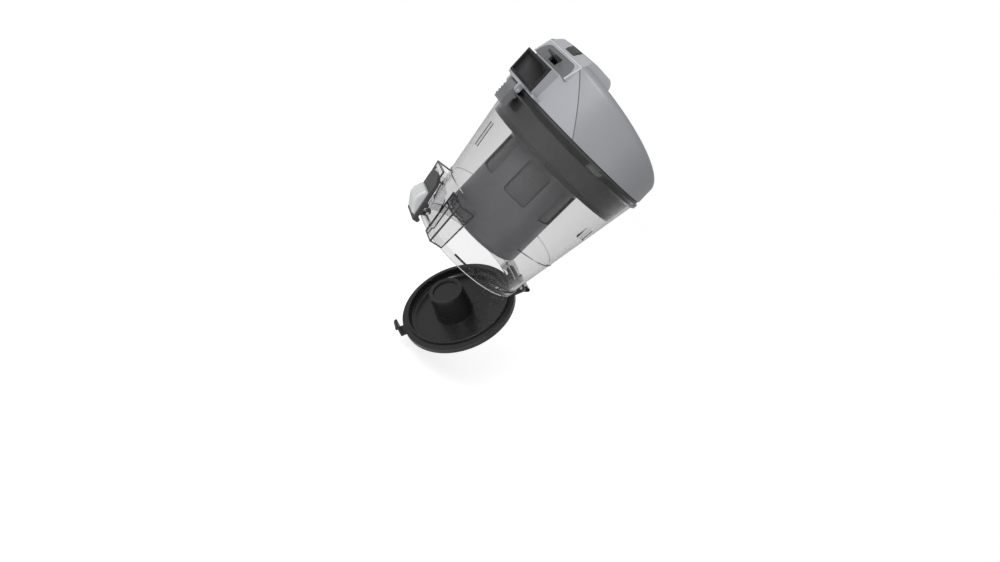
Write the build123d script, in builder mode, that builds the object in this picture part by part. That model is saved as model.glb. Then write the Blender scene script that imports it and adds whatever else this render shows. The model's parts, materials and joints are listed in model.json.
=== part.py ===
from build123d import *
from math import cos, radians, sin, tan

# Dust container of a bagless vacuum cleaner, upright, in millimetres.
# The bin's axis is Z and its bottom rim lies on z = 0.
# +X points to the lid hinge and -X to the latch, the cover clip and the air duct.
# The lid is modelled hanging open on its stop, with the latch button pressed.

# Driving sizes
RIM_R = 61.0
SEAM_R = 82.0
BIN_H = 150.0
CORE_X, CORE_R = -6.0, 43.5
LID_OPEN = 61.0

# Clearances
CLEAR = 0.3
PIN_FIT = 0.05
LINER_FIT = 0.15
SLIDE_FIT = 0.5
PIN_PROUD = 0.8
OVERCUT = 1.0

# Clear bin
BIN_WALL = 2.2
BEAD, BEAD_H = 1.6, 6.0
FLANGE, FLANGE_H = 2.0, 4.0
FILL_LINE_Z, FILL_LINE = BIN_H / 3, 0.7
RIB_LOW, RIB_HIGH = BIN_H - 62.0, BIN_H - 37.0
RIB_OUT, RIB_T = 3.0, 1.8
PAD_Z, PAD_W, PAD_H, PAD_OUT = BIN_H - 50.0, 15.0, 13.0, 1.0
PAD_ANGLES = (-65.0, 65.0)

# Squared cheeks either side of the latch, each with a pocket in its top
CHEEK_X, CHEEK_Y, CHEEK_H = RIM_R + 3.0, RIM_R - 24.0, 46.0
CHEEK_WALL, CHEEK_FLOOR = 2.0, 34.0
SLOT_HALF = 19.0

# Lid hinge
HINGE_X, HINGE_Z = RIM_R + 7.0, 5.0
HINGE_PIN_R = 1.5
LUG_R, LUG_T, LUG_GAP = 5.0, 6.0, 0.5
KNUCKLE_R, KNUCKLE_HALF = 4.2, 13.5
LUG_ROOT_H = 16.0
STOP_T, STOP_L, STOP_REACH = 3.0, 5.0, 7.0

# Bottom lid, in its closed place
LID_R, LID_DEPTH, LID_FLOOR = RIM_R + 1.5, 9.0, 2.0
LID_CHAMFER, LID_BOWL = 3.0, 5.0
SPIGOT_R, SPIGOT_T, SPIGOT_H = RIM_R - BIN_WALL - 2.3, 2.0, 3.0
SEAL_W, SEAL_T = 4.0, 1.2
PLUG_R, PLUG_DRAFT, PLUG_WALL = 18.0, 3.0, 2.0
PLUG_SEAL_T, PLUG_SEAL_W = 1.7, 4.0
ARM_DROP = 1.0

# Hooked tab on the lid's rim
TAB_HALF, TAB_TOP, TAB_T = 6.0, -3.5, 3.5
TAB_END, FINGER_T, FINGER_TOP = RIM_R + 9.5, 2.5, 8.0
BARB, BARB_LOW, BARB_H = 2.0, 4.0, 1.5

# Latch
PIVOT_X, PIVOT_Z = -RIM_R - 11.5, 14.0
LATCH_PIN_R = 1.5
EAR_R, EAR_T, EAR_GAP, EAR_ROOT = 4.0, 3.0, 0.4, 10.0
GUARD_LOW, GUARD_TOP, GUARD_EDGE = 15.0, 47.0, 3.0
GUARD_ROOT, GUARD_BULGE, GUARD_BULGE_Z, GUARD_TIP, GUARD_BACK = 4.5, 10.5, 39.0, 21.0, 12.5
LEVER_HALF, LEVER_CHEEK, LEVER_T, LEVER_OUT = 12.0, 3.0, 3.5, 7.5
LEVER_TOP, LEVER_LOW, LEVER_ROUND = 46.0, -0.3, 9.0
LEVER_TILT = 9.6
NOSE_GAP, NOSE_RAMP = 0.8, 1.6
BUTTON_HALF, BUTTON_LOW, BUTTON_MID, BUTTON_HIGH = 9.5, 4.0, 18.0, 29.0
BUTTON_OUT, BUTTON_EDGE, BUTTON_ROUND = 10.0, 3.0, 2.5
SPRING_WIRE, SPRING_BEND, SPRING_LEG_GAP = 0.4, 0.5, 0.9
LATCH_COIL_R, LATCH_COIL_L, LATCH_PITCH = 2.6, 6.0, 1.2

# Cyclone head and core
HEAD_LOW, HEAD_T, PLATE_T = BIN_H - 29.0, 2.5, 2.0
HEAD_SEAL_H, HEAD_SEAL_T = 5.0, 2.2
CORE_WALL, CORE_LOW, CORE_ROUND, CORE_MOUTH_R = 2.0, 25.0, 6.0, 15.0
WINDOW_W, WINDOW_LOW, WINDOW_HIGH, WINDOW_COUNT = 26.0, BIN_H - 72.0, BIN_H - 36.0, 6
WINDOW_FIRST = -124.0
SCREEN_T, SCREEN_LAP = 0.6, 3.0
CONE_TOP_R, CONE_LOW_R, CONE_LOW, CONE_WALL = 36.0, 12.0, 36.0, 1.6
FINDER_R, FINDER_LOW, FINDER_WALL = 13.0, BIN_H - 50.0, 1.6
FINDER_FLANGE_R, FINDER_FLANGE_T = 23.0, 2.0
SCREW_R, SCREW_RING, SCREW_COUNT, SCREW_L = 1.4, 18.5, 3, 8.0
SCREW_HEAD_R, SCREW_HEAD_H, BOSS_R, BOSS_H = 2.8, 2.0, 3.5, 6.0
AIR_HOLE_LOW, AIR_HOLE_HIGH, AIR_HOLE_HALF = 13.0 - SEAM_R, 28.0 - SEAM_R, 18.0

# Top cover
BIN_SEAL_T, BIN_SEAL_W = 1.0, 3.0
COVER_R, COVER_WALL, COVER_DRAFT = SEAM_R + 1.0, 2.5, 0.05
ROOF_FRONT, ROOF_MID, ROOF_BACK = BIN_H + 54.0, BIN_H + 40.0, BIN_H + 15.0
ROOF_REACH = COVER_R + 1.0
SHOULDER, SHOULDER_LOW = 6.5, 5.0
COVER_HIGH = BIN_H + 110.0
SPLIT_X, SPLIT_TILT, SPLIT_GAP = 32.0 - SEAM_R, 27.7, 0.5
REAR_HOOK_HALF, REAR_HOOK_T, REAR_HOOK_RISE, REAR_HOOK_NOSE = 8.0, 3.0, 6.0, 3.5

# Air duct on the inlet housing
DUCT_X, DUCT_HALF, DUCT_WALL = -SEAM_R - 4.0, 27.0, 1.4
DUCT_LOW, DUCT_HIGH = BIN_H + 5.5, BIN_H + 30.0
LINER_WALL, LINER_LIP = 0.9, 1.2
LEDGE_T, LEDGE_HALF, LEDGE_X = 2.5, 32.0, -SEAM_R - 2.0
BRACKET_HALF, BRACKET_X = 14.0, -SEAM_R - 9.0

# Handle hood: its catch chamber in front, its finger pocket behind
HOOD_HALF, HOOD_WALL, HOOD_ROUND = 36.0, 2.2, 13.0
HOOD_LOW, HOOD_TOP = DUCT_HIGH + 1.5, DUCT_HIGH + 28.5
HOOD_FRONT, HOOD_BACK = 5.0 - SEAM_R, 45.0 - SEAM_R
LIP_X, LIP_Z = HOOD_FRONT + 5.2, HOOD_LOW + 16.0
BROW_X, BROW_Z = HOOD_FRONT + 12.0, HOOD_TOP - 2.0
CROWN_X = HOOD_FRONT + 22.0
WEB_X, WEB_T = HOOD_FRONT + 16.0, 2.0
POCKET_BACK, POCKET_HALF, POCKET_FLOOR = HOOD_BACK + 35.0, 28.0, HOOD_LOW + 2.5
POCKET_ROUND, POCKET_FOOT, POCKET_WALL = 10.0, 5.0, 2.0

# Release catch
FRAME_T = 3.0
SHELF_L, SHELF_HALF, SHELF_T = 10.0, 12.0, 1.5
STEM_FRONT, STEM_BACK, STEM_HALF, STEM_LOW = HOOD_FRONT + 7.8, HOOD_FRONT + 12.5, 7.5, HOOD_LOW + 6.5
THUMB_FRONT, THUMB_BACK, THUMB_HALF, THUMB_OUT = HOOD_FRONT + 7.8, HOOD_FRONT + 12.5, 9.0, 2.2
CATCH_NOSE_X, CATCH_NOSE_LOW, CATCH_NOSE_H = HOOD_FRONT - 5.0, HOOD_LOW + 5.5, 4.0
CATCH_TRAVEL = 2.5
CATCH_COIL_R, CATCH_COIL_TURNS = 1.8, 2

# Cover clip
CLIP_X, CLIP_Z, CLIP_PIN_R, CLIP_R = -SEAM_R - 6.0, BIN_H - 1.0, 1.2, 2.8
CLIP_HALF, CLIP_LOW, CLIP_OUT, CLIP_NOSE_H = 8.2, BIN_H - 19.0, 2.8, 3.5
CLIP_EAR_T, CLIP_EAR_GAP = 3.0, 0.5
GRIP_RIBS, GRIP_PITCH, GRIP_R = 4, 3.2, 0.9

# Exhaust filter under the dome
FILTER_X, FILTER_R, FILTER_WALL = 14.0, 46.0, 1.8
FILTER_FLOOR, FILTER_TOP, FILTER_FLOOR_T = BIN_H + 7.5, BIN_H + 18.0, 1.5
FILTER_HOLE_R, FILTER_HOLE_RING, FILTER_HOLES = 9.0, 27.0, 8
FOAM_T = 7.5

# Levels that follow from the sizes above
DUCT_INNER_X = AIR_HOLE_LOW - CLEAR
PLATE_TOP = BIN_H + PLATE_T
COVER_LOW = PLATE_TOP + BIN_SEAL_T
PLUG_TOP = CORE_LOW - CLEAR - PLUG_SEAL_T
LUG_INNER = KNUCKLE_HALF + LUG_GAP
EAR_INNER = LEVER_HALF + EAR_GAP
FLANGE_LOW = BIN_H - FLANGE_H
BIN_SLOPE = (SEAM_R - RIM_R) / BIN_H
CHAMBER_BACK = WEB_X - CLEAR
BROW_SLOPE = (BROW_Z - LIP_Z) / (BROW_X - LIP_X)
LIP_LEAN = (LIP_X - HOOD_FRONT) / (LIP_Z - HOOD_LOW)
HINGE_AXIS = Axis((HINGE_X, 0, HINGE_Z), (0, 1, 0))
SPLIT = Plane((SPLIT_X, 0, COVER_LOW), (0, 1, 0), (cos(radians(SPLIT_TILT)), 0, sin(radians(SPLIT_TILT))))


def bin_radius(z):
    """Outer radius of the tapered bin at height z."""
    return RIM_R + BIN_SLOPE * z


def lever_face(z):
    """X of the latch lever's leaning outer face at height z."""
    return PIVOT_X - LEVER_OUT - tan(radians(LEVER_TILT)) * (z - PIVOT_Z)


def brow(x):
    """Height of the hood's sloping brow at x."""
    return LIP_Z + BROW_SLOPE * (x - LIP_X)


def xz_plane(y):
    """Plane across Y at y, whose sketch axes are X and Z and which extrudes towards -Y."""
    return Plane.XZ.offset(-y)


def bin_cone(inset, low, high):
    """Solid with the bin's taper, its wall moved in by inset."""
    with BuildPart() as cone:
        with BuildSketch(Plane.XZ):
            with BuildLine():
                Polyline(
                    (0, low),
                    (bin_radius(low) - inset, low),
                    (bin_radius(high) - inset, high),
                    (0, high),
                    close=True,
                )
            make_face()
        revolve(axis=Axis.Z)
    return cone.part


def cheek_block(side, inset, low, high):
    """Block beside the latch that widens with the bin, its walls moved in by inset."""
    with BuildPart() as block:
        for z in (low, high):
            front = -CHEEK_X - BIN_SLOPE * z + inset
            inner = side * (SLOT_HALF + inset)
            outer = side * (CHEEK_Y + BIN_SLOPE * z - inset)
            with BuildSketch(Plane.XY.offset(z)):
                with BuildLine():
                    Polyline((front, inner), (front, outer), (0, outer), (0, inner), close=True)
                make_face()
        loft()
    return block.part


def cheek(side):
    """Hollow cheek, open at the bottom and against the bin wall, with a pocket in its top."""
    with BuildPart() as shell:
        add(cheek_block(side, 0, 0, CHEEK_H))
        add(cheek_block(side, CHEEK_WALL, -OVERCUT, CHEEK_FLOOR), mode=Mode.SUBTRACT)
        add(cheek_block(side, CHEEK_WALL, CHEEK_FLOOR + CHEEK_WALL, CHEEK_H + OVERCUT), mode=Mode.SUBTRACT)
        add(bin_cone(BIN_WALL / 2, -OVERCUT, CHEEK_H + OVERCUT), mode=Mode.SUBTRACT)
    return shell.part


def stop_centre():
    """Middle of the bar that the open lid's knuckle arm rests against."""
    turn = radians(LID_OPEN)
    off = KNUCKLE_R + CLEAR + STOP_T / 2
    x = HINGE_X + off * cos(turn) + STOP_REACH * sin(turn)
    z = HINGE_Z + off * sin(turn) - STOP_REACH * cos(turn)
    return x, z


def cover_body(inset, low):
    """Solid of the cover: a round wall under a sloping, slightly crowned roof."""
    top_r = COVER_R - COVER_DRAFT * (COVER_HIGH - COVER_LOW)
    with BuildPart() as body:
        with BuildSketch(Plane.XZ):
            with BuildLine():
                Polyline(
                    (0, low),
                    (COVER_R - inset, low),
                    (top_r - inset, COVER_HIGH),
                    (0, COVER_HIGH),
                    close=True,
                )
            make_face()
        revolve(axis=Axis.Z)
        with BuildSketch(Plane.XZ):
            with BuildLine():
                ThreePointArc(
                    (-ROOF_REACH, ROOF_FRONT - inset),
                    (0, ROOF_MID - inset),
                    (ROOF_REACH, ROOF_BACK - inset),
                )
                Polyline(
                    (ROOF_REACH, ROOF_BACK - inset),
                    (ROOF_REACH, COVER_HIGH + OVERCUT),
                    (-ROOF_REACH, COVER_HIGH + OVERCUT),
                    (-ROOF_REACH, ROOF_FRONT - inset),
                )
            make_face()
        extrude(amount=ROOF_REACH, both=True, mode=Mode.SUBTRACT)
        curved = body.edges().filter_by(GeomType.LINE, reverse=True)
        rim = curved.filter_by(lambda edge: edge.center().Z > COVER_LOW + SHOULDER_LOW)
        fillet(rim, SHOULDER - inset)
    return body.part


def hood_outline(inset, top, front, back):
    """Prism of the handle hood along X: flat sides moved in by inset and rounded corners under top."""
    with BuildPart() as prism:
        with BuildSketch(Plane.YZ.offset(front)) as profile:
            with Locations((0, HOOD_LOW)):
                Rectangle(2 * (HOOD_HALF - inset), top - HOOD_LOW, align=(Align.CENTER, Align.MIN))
            fillet(profile.vertices().group_by(Axis.Y)[-1], HOOD_ROUND - inset)
        extrude(amount=back - front)
    return prism.part


def hood_side():
    """Side view of the hood, extruded across Y: a leaning front, a sloping brow and a level top."""
    with BuildPart() as side_view:
        with BuildSketch(Plane.XZ):
            with BuildLine():
                Polyline(
                    (HOOD_FRONT, HOOD_LOW),
                    (LIP_X, LIP_Z),
                    (BROW_X, BROW_Z),
                    (CROWN_X, HOOD_TOP),
                    (HOOD_BACK, HOOD_TOP),
                    (HOOD_BACK, HOOD_LOW),
                    close=True,
                )
            make_face()
        extrude(amount=HOOD_HALF, both=True)
    return side_view.part


def thumb_hole():
    """Upright hole in which the thumb pad slides."""
    with BuildPart() as hole:
        with BuildSketch(Plane.XY.offset(HOOD_LOW)):
            with Locations(((THUMB_FRONT + THUMB_BACK) / 2, 0)):
                Rectangle(THUMB_BACK - THUMB_FRONT + 2 * SLIDE_FIT, 2 * (THUMB_HALF + SLIDE_FIT))
        extrude(amount=COVER_HIGH - HOOD_LOW)
    return hole.part


def cover_shell():
    """Hollow cover, open where the hood's catch chamber is let into its front."""
    with BuildPart() as shell:
        add(COVER_SOLID)
        add(cover_body(COVER_WALL, COVER_LOW - OVERCUT), mode=Mode.SUBTRACT)
        add(hood_outline(0, COVER_HIGH, -ROOF_REACH, WEB_X), mode=Mode.SUBTRACT)
    return shell.part


def pocket_block(wall):
    """Rounded block of the finger pocket, grown outwards by wall."""
    front = WEB_X + WEB_T - wall
    back = POCKET_BACK + wall
    with BuildPart() as block:
        with BuildSketch(Plane.XY.offset(POCKET_FLOOR - wall)):
            with Locations(((front + back) / 2, 0)):
                RectangleRounded(back - front, 2 * (POCKET_HALF + wall), POCKET_ROUND + wall)
        extrude(amount=HOOD_TOP - POCKET_FLOOR)
        fillet(block.faces().sort_by(Axis.Z)[0].edges(), POCKET_FOOT)
    return block.part


def pin(x, z, radius, half):
    """Steel pin along Y through x, z."""
    with BuildPart() as rod:
        with BuildSketch(Plane.XZ):
            with Locations((x, z)):
                Circle(radius)
        extrude(amount=half, both=True)
    return rod.part


def ring(x, inner, outer, low, high):
    """Flat ring about a vertical axis at x."""
    with BuildPart() as band:
        with BuildSketch(Plane.XY.offset(low)):
            with Locations((x, 0)):
                Circle(outer)
                Circle(inner, mode=Mode.SUBTRACT)
        extrude(amount=high - low)
    return band.part


def liner_bend(inset, front):
    """Solid that runs in along the duct and turns down to the head's plate, its walls moved in by inset."""
    low = DUCT_LOW + DUCT_WALL + LINER_FIT + inset
    high = DUCT_HIGH - DUCT_WALL - LINER_FIT - inset
    with BuildPart() as bend:
        with BuildSketch(Plane.XZ):
            with BuildLine():
                Polyline(
                    (front, low),
                    (AIR_HOLE_LOW + inset, low),
                    (AIR_HOLE_LOW + inset, PLATE_TOP + CLEAR - inset),
                    (AIR_HOLE_HIGH - inset, PLATE_TOP + CLEAR - inset),
                    (AIR_HOLE_HIGH - inset, high - (AIR_HOLE_HIGH - DUCT_INNER_X) / 2),
                    (DUCT_INNER_X, high),
                    (front, high),
                    close=True,
                )
            make_face()
        extrude(amount=DUCT_HALF - DUCT_WALL - LINER_FIT - inset, both=True)
    return bend.part


COVER_SOLID = cover_body(0, COVER_LOW)
COVER_SHELL = cover_shell()
THUMB_HOLE = thumb_hole()

# Dust bin: tapered clear wall with its rim bead, fill line and top flange
with BuildPart() as dust_bin:
    with BuildSketch(Plane.XZ):
        with BuildLine():
            Polyline(
                (RIM_R - BIN_WALL, 0),
                (RIM_R + BEAD, 0),
                (bin_radius(BEAD_H) + BEAD, BEAD_H),
                (bin_radius(BEAD_H + BEAD), BEAD_H + BEAD),
                (bin_radius(FILL_LINE_Z), FILL_LINE_Z),
                (bin_radius(FILL_LINE_Z) + FILL_LINE, FILL_LINE_Z + FILL_LINE),
                (bin_radius(FILL_LINE_Z + 2 * FILL_LINE), FILL_LINE_Z + 2 * FILL_LINE),
                (bin_radius(FLANGE_LOW - FLANGE), FLANGE_LOW - FLANGE),
                (SEAM_R + FLANGE, FLANGE_LOW),
                (SEAM_R + FLANGE, BIN_H),
                (SEAM_R - BIN_WALL, BIN_H),
                close=True,
            )
        make_face()
    revolve(axis=Axis.Z)
    for side in (1, -1):
        add(cheek(side))
        # Latch ear and hinge lug on this side
        ear_face = EAR_INNER + EAR_T if side > 0 else -EAR_INNER
        with BuildSketch(xz_plane(ear_face)):
            with Locations((PIVOT_X, PIVOT_Z)):
                Circle(EAR_R)
            with Locations((-bin_radius(PIVOT_Z) + BIN_WALL, PIVOT_Z)):
                Rectangle(BIN_WALL, 2 * EAR_ROOT)
            make_hull()
            with BuildLine():
                ThreePointArc(
                    (-RIM_R - GUARD_ROOT, GUARD_LOW),
                    (-RIM_R - GUARD_BULGE, GUARD_BULGE_Z),
                    (-RIM_R - GUARD_TIP, GUARD_TOP),
                )
                Polyline(
                    (-RIM_R - GUARD_TIP, GUARD_TOP),
                    (-RIM_R - GUARD_TIP, GUARD_TOP - GUARD_EDGE),
                    (-RIM_R - GUARD_BACK, GUARD_LOW),
                    (-RIM_R - GUARD_ROOT, GUARD_LOW),
                )
            make_face()
        extrude(amount=EAR_T)
        lug_face = LUG_INNER + LUG_T if side > 0 else -LUG_INNER
        with BuildSketch(xz_plane(lug_face)):
            with Locations((HINGE_X, HINGE_Z)):
                Circle(LUG_R)
            with Locations(stop_centre()):
                Circle(STOP_L / 2)
            with Locations((RIM_R - BIN_WALL, 0)):
                Rectangle(BIN_WALL, LUG_ROOT_H, align=Align.MIN)
            make_hull()
        extrude(amount=LUG_T)
    # Stop bar between the hinge lugs
    with BuildSketch(Plane.XZ):
        with Locations(stop_centre()):
            Rectangle(STOP_L, STOP_T, rotation=LID_OPEN - 90)
    extrude(amount=LUG_INNER + LUG_T / 2, both=True)
    # Upright guide rib above the latch
    with BuildSketch(Plane.XZ):
        with BuildLine():
            Polyline(
                (-bin_radius(RIB_LOW) + BIN_WALL / 2, RIB_LOW),
                (-bin_radius(RIB_LOW) - RIB_OUT, RIB_LOW),
                (-bin_radius(RIB_HIGH) - RIB_OUT, RIB_HIGH),
                (-bin_radius(RIB_HIGH) + BIN_WALL / 2, RIB_HIGH),
                close=True,
            )
        make_face()
    extrude(amount=RIB_T / 2, both=True)
    # Small moulded pads under the head
    for angle in PAD_ANGLES:
        out = Vector(cos(radians(angle)), sin(radians(angle)), 0)
        along = Vector(-sin(radians(angle)), cos(radians(angle)), 0)
        with BuildSketch(Plane(out * (bin_radius(PAD_Z) - BIN_WALL) + Vector(0, 0, PAD_Z), along, out)):
            RectangleRounded(PAD_W, PAD_H, PAD_H / 6)
        extrude(amount=BIN_WALL + PAD_OUT)
    add(bin_cone(BIN_WALL, -OVERCUT, BIN_H + OVERCUT), mode=Mode.SUBTRACT)
    add(pin(HINGE_X, HINGE_Z, HINGE_PIN_R + PIN_FIT, SEAM_R), mode=Mode.SUBTRACT)
    add(pin(PIVOT_X, PIVOT_Z, LATCH_PIN_R + PIN_FIT, SLOT_HALF), mode=Mode.SUBTRACT)
dust_bin.part.label = "dust_bin"
export_step(dust_bin.part, "parts/dust_bin.step")

# Bottom lid: bowl with a seal groove, a plug for the core's mouth, a hinge arm and a hooked tab
with BuildPart() as bottom_lid:
    bowl_r = SPIGOT_R - SPIGOT_T
    bowl_low = LID_FLOOR - LID_DEPTH
    with BuildSketch(Plane.XZ):
        with BuildLine():
            Polyline(
                (0, bowl_low),
                (0, -LID_DEPTH),
                (LID_R - LID_CHAMFER, -LID_DEPTH),
                (LID_R, LID_CHAMFER - LID_DEPTH),
                (LID_R, -CLEAR),
                (SPIGOT_R + SEAL_W, -CLEAR),
                (SPIGOT_R + SEAL_W, -CLEAR - SEAL_T),
                (SPIGOT_R, -CLEAR - SEAL_T),
                (SPIGOT_R, SPIGOT_H),
                (bowl_r, SPIGOT_H),
                (bowl_r, bowl_low + LID_BOWL),
            )
            RadiusArc((bowl_r, bowl_low + LID_BOWL), (bowl_r - LID_BOWL, bowl_low), LID_BOWL)
            Line((bowl_r - LID_BOWL, bowl_low), (0, bowl_low))
        make_face()
    revolve(axis=Axis.Z)
    for inset, high, mode in ((0, PLUG_TOP, Mode.ADD), (PLUG_WALL, PLUG_TOP - PLUG_WALL, Mode.SUBTRACT)):
        with BuildSketch(Plane.XY.offset(-LID_DEPTH)):
            with Locations((CORE_X, 0)):
                Circle(PLUG_R + PLUG_DRAFT - inset)
        with BuildSketch(Plane.XY.offset(high)):
            with Locations((CORE_X, 0)):
                Circle(PLUG_R - inset)
        loft(mode=mode)
    arm_low = ARM_DROP - LID_DEPTH
    arm_top = -CLEAR - SEAL_T - ARM_DROP
    with BuildSketch(Plane.XZ):
        with Locations((HINGE_X, HINGE_Z)):
            Circle(KNUCKLE_R)
            Rectangle(2 * KNUCKLE_R, HINGE_Z - arm_low, align=(Align.CENTER, Align.MAX))
        with BuildLine():
            Polyline(
                (HINGE_X, arm_low),
                (HINGE_X, arm_top),
                (LID_R - LID_CHAMFER, arm_top),
                (LID_R - LID_CHAMFER, arm_low),
                close=True,
            )
        make_face()
    extrude(amount=KNUCKLE_HALF, both=True)
    finger_out = -TAB_END + BARB
    with BuildSketch(Plane.XZ):
        with BuildLine():
            Polyline(
                (LID_CHAMFER - LID_R, TAB_TOP),
                (finger_out + FINGER_T, TAB_TOP),
                (finger_out + FINGER_T, FINGER_TOP),
                (finger_out, FINGER_TOP),
                (-TAB_END, BARB_LOW + BARB_H),
                (-TAB_END, BARB_LOW),
                (finger_out, BARB_LOW),
                (finger_out, TAB_TOP - TAB_T),
                (LID_CHAMFER - LID_R, TAB_TOP - TAB_T),
                close=True,
            )
        make_face()
    extrude(amount=TAB_HALF, both=True)
    add(pin(HINGE_X, HINGE_Z, HINGE_PIN_R + PIN_FIT, KNUCKLE_HALF), mode=Mode.SUBTRACT)
bottom_lid.part = bottom_lid.part.rotate(HINGE_AXIS, -LID_OPEN)
bottom_lid.part.label = "bottom_lid"
export_step(bottom_lid.part, "parts/bottom_lid.step")

# Rubber rings of the lid: one under the bin's rim, one round the core's mouth
with BuildPart() as lid_seal:
    add(ring(0, SPIGOT_R, SPIGOT_R + SEAL_W, -CLEAR - SEAL_T, -CLEAR))
lid_seal.part = lid_seal.part.rotate(HINGE_AXIS, -LID_OPEN)
lid_seal.part.label = "lid_seal"
export_step(lid_seal.part, "parts/lid_seal.step")

with BuildPart() as plug_seal:
    add(ring(CORE_X, PLUG_R - PLUG_SEAL_W, PLUG_R, PLUG_TOP, PLUG_TOP + PLUG_SEAL_T))
plug_seal.part = plug_seal.part.rotate(HINGE_AXIS, -LID_OPEN)
plug_seal.part.label = "plug_seal"
export_step(plug_seal.part, "parts/plug_seal.step")

with BuildPart() as lid_hinge_pin:
    add(pin(HINGE_X, HINGE_Z, HINGE_PIN_R, LUG_INNER + LUG_T + PIN_PROUD))
lid_hinge_pin.part.label = "lid_hinge_pin"
export_step(lid_hinge_pin.part, "parts/lid_hinge_pin.step")

# Latch lever: bent plate with two cheeks on the pin and a hooked foot for the lid's tab
with BuildPart() as latch_lever:
    hook_x = -TAB_END - NOSE_GAP
    hook_top = BARB_LOW - NOSE_GAP
    with BuildSketch(Plane.XZ):
        with BuildLine():
            Polyline(
                (lever_face(LEVER_TOP), LEVER_TOP),
                (lever_face(LEVER_LOW), LEVER_LOW),
                (hook_x - NOSE_RAMP / 2, LEVER_LOW),
                (hook_x, LEVER_LOW + NOSE_RAMP),
                (hook_x, hook_top),
                (lever_face(hook_top) + LEVER_T, hook_top),
                (lever_face(LEVER_TOP) + LEVER_T, LEVER_TOP),
                close=True,
            )
        make_face()
    extrude(amount=LEVER_HALF, both=True)
    tips = latch_lever.edges().filter_by(Axis.X).group_by(Axis.Z)[-1]
    fillet(tips, LEVER_ROUND)
    for face in (LEVER_HALF, LEVER_CHEEK - LEVER_HALF):
        with BuildSketch(xz_plane(face)):
            with Locations((PIVOT_X, PIVOT_Z)):
                Circle(EAR_R)
            with Locations((lever_face(PIVOT_Z) + LEVER_T / 2, PIVOT_Z)):
                Rectangle(LEVER_T / 2, 4 * EAR_R, rotation=LEVER_TILT)
            make_hull()
        extrude(amount=LEVER_CHEEK)
    add(pin(PIVOT_X, PIVOT_Z, LATCH_PIN_R + PIN_FIT, LEVER_HALF), mode=Mode.SUBTRACT)
latch_lever.part.label = "latch_lever"
export_step(latch_lever.part, "parts/latch_lever.step")

# Press pad on the lever's outer face
with BuildPart() as latch_button:
    with BuildSketch(Plane.XZ):
        with BuildLine():
            Polyline(
                (lever_face(BUTTON_LOW), BUTTON_LOW),
                (lever_face(BUTTON_HIGH), BUTTON_HIGH),
                (lever_face(BUTTON_HIGH) - BUTTON_EDGE, BUTTON_HIGH),
                (lever_face(BUTTON_MID) - BUTTON_OUT, BUTTON_MID),
                (lever_face(BUTTON_LOW) - BUTTON_EDGE, BUTTON_LOW),
                close=True,
            )
        make_face()
    extrude(amount=BUTTON_HALF, both=True)
    fillet(latch_button.edges().filter_by(Axis.Y).group_by(Axis.X)[0], BUTTON_OUT)
    brim = PIVOT_X - LEVER_OUT - BUTTON_EDGE
    fillet(latch_button.edges().filter_by(lambda edge: edge.center().X < brim), BUTTON_ROUND)
latch_button.part.label = "latch_button"
export_step(latch_button.part, "parts/latch_button.step")

with BuildPart() as latch_pin:
    add(pin(PIVOT_X, PIVOT_Z, LATCH_PIN_R, EAR_INNER + EAR_T + PIN_PROUD))
latch_pin.part.label = "latch_pin"
export_step(latch_pin.part, "parts/latch_pin.step")

# Torsion spring round the latch pin, with a leg to the lever and a leg to the bin
with BuildPart() as latch_spring:
    coil_end = (PIVOT_X, LATCH_COIL_L / 2, PIVOT_Z)
    with BuildLine() as coil:
        Helix(LATCH_PITCH, LATCH_COIL_L, LATCH_COIL_R, center=coil_end, direction=(0, -1, 0))
    with BuildSketch(Plane(coil.line @ 0, z_dir=coil.line % 0)):
        Circle(SPRING_WIRE)
    sweep()
    leg_z = PIVOT_Z - LATCH_COIL_R
    lever_leg = lever_face(leg_z) + LEVER_T + SPRING_LEG_GAP - PIVOT_X
    bin_leg = -bin_radius(leg_z) - CLEAR - PIVOT_X
    for end, reach in ((0, lever_leg), (1, bin_leg)):
        with BuildSketch(Plane(coil.line @ end, (0, 1, 0), (1, 0, 0))):
            Circle(SPRING_WIRE)
        extrude(amount=reach)
        with Locations(coil.line @ end):
            Sphere(SPRING_BEND)
latch_spring.part.label = "latch_spring"
export_step(latch_spring.part, "parts/latch_spring.step")

# Cyclone head: dark skirt inside the bin's top and the plate that carries the core
with BuildPart() as cyclone_head:
    skirt = BIN_WALL + CLEAR
    skirt_low = HEAD_LOW + HEAD_SEAL_H
    with BuildSketch(Plane.XZ):
        with BuildLine():
            Polyline(
                (0, BIN_H),
                (bin_radius(BIN_H) - skirt - HEAD_T, BIN_H),
                (bin_radius(skirt_low) - skirt - HEAD_T, skirt_low),
                (bin_radius(skirt_low) - skirt, skirt_low),
                (bin_radius(BIN_H) - skirt, BIN_H),
                (SEAM_R, BIN_H),
                (SEAM_R, PLATE_TOP),
                (0, PLATE_TOP),
                close=True,
            )
        make_face()
    revolve(axis=Axis.Z)
    with BuildSketch(Plane.XY.offset(BIN_H)):
        with Locations((CORE_X, 0)):
            with PolarLocations(SCREW_RING, SCREW_COUNT):
                Circle(BOSS_R)
    extrude(amount=-BOSS_H)
    with BuildSketch(Plane.XY.offset(BIN_H - BOSS_H)):
        with Locations((CORE_X, 0)):
            Circle(FINDER_R + CLEAR)
            with PolarLocations(SCREW_RING, SCREW_COUNT):
                Circle(SCREW_R + PIN_FIT)
        with Locations(((AIR_HOLE_LOW + AIR_HOLE_HIGH) / 2, 0)):
            RectangleRounded(AIR_HOLE_HIGH - AIR_HOLE_LOW, 2 * AIR_HOLE_HALF, FLANGE)
    extrude(amount=BOSS_H + PLATE_T, mode=Mode.SUBTRACT)
cyclone_head.part.label = "cyclone_head"
export_step(cyclone_head.part, "parts/cyclone_head.step")

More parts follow.
